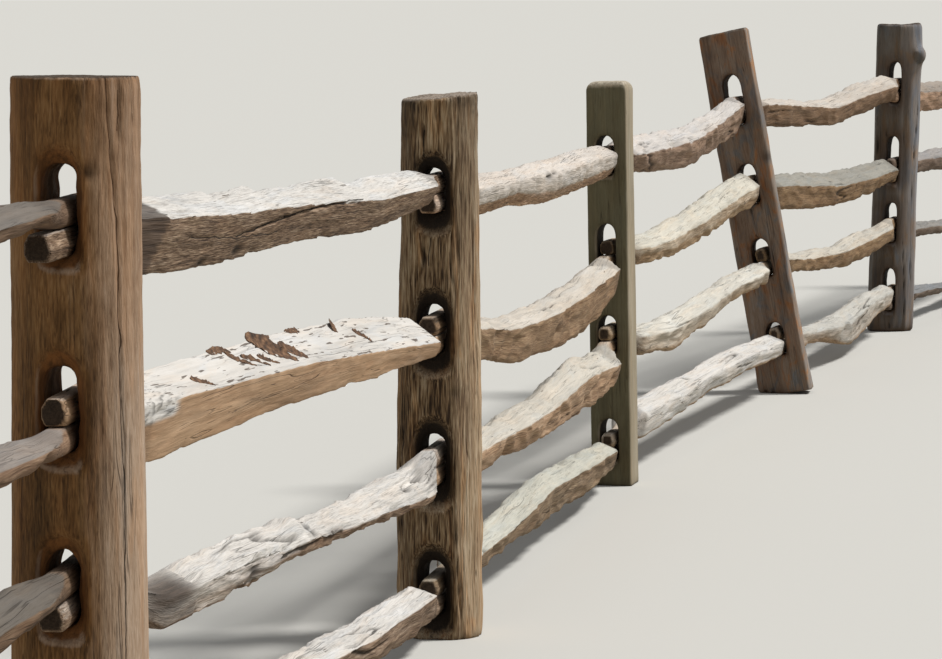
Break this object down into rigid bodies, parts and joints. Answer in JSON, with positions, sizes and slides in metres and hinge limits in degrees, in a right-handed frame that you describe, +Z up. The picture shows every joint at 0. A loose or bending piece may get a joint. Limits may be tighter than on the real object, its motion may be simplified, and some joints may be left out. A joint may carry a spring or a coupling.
{
  "type": "split rail fence",
  "caption": "Mortised post-and-rail fence of split logs: rails with hewn ends lie one over another in slots through mixed old posts.",
  "frame": {"origin": "on the ground at the middle of the middle post's foot", "axes": "+X along the row, +Y to its left, away from the path, +Z up"},
  "size_m": [18.5127, 0.7695, 1.4426],
  "materials": {
    "post_1": "weathered round log",
    "post_2": "peeled log, warm brown, fine upright grain",
    "post_3": "weathered round log, streaky dark brown",
    "post_4": "sawn, greyed",
    "post_5": "split, red brown with grey patches",
    "post_6": "hewn, brown and grey",
    "post_7": "split, grey brown",
    "bay_1_rails": "split rail, silver grey above and tan below",
    "bay_2_rails": "split rail, silver grey above and tan below",
    "bay_3_rails": "split rail, silver grey above and tan below",
    "bay_4_rails": "split rail, silver grey above and tan below",
    "bay_5_rails": "split rail, silver grey above and tan below",
    "bay_6_rails": "split rail, silver grey above and tan below"
  },
  "bodies": {
    "root": {"post_1": "post_1", "post_2": "post_2", "post_3": "post_3", "post_4": "post_4", "post_5": "post_5", "post_6": "post_6", "post_7": "post_7", "bay_1_rail_1": "bay_1_rails", "bay_1_rail_2": "bay_1_rails", "bay_1_rail_3": "bay_1_rails", "bay_1_rail_4": "bay_1_rails", "bay_2_rail_1": "bay_2_rails", "bay_2_rail_2": "bay_2_rails", "bay_2_rail_3": "bay_2_rails", "bay_2_rail_4": "bay_2_rails", "bay_3_rail_1": "bay_3_rails", "bay_3_rail_2": "bay_3_rails", "bay_3_rail_3": "bay_3_rails", "bay_3_rail_4": "bay_3_rails", "bay_4_rail_1": "bay_4_rails", "bay_4_rail_2": "bay_4_rails", "bay_4_rail_3": "bay_4_rails", "bay_4_rail_4": "bay_4_rails", "bay_5_rail_1": "bay_5_rails", "bay_5_rail_2": "bay_5_rails", "bay_5_rail_3": "bay_5_rails", "bay_5_rail_4": "bay_5_rails", "bay_6_rail_1": "bay_6_rails", "bay_6_rail_2": "bay_6_rails", "bay_6_rail_3": "bay_6_rails", "bay_6_rail_4": "bay_6_rails"}
  },
  "joints": []
}
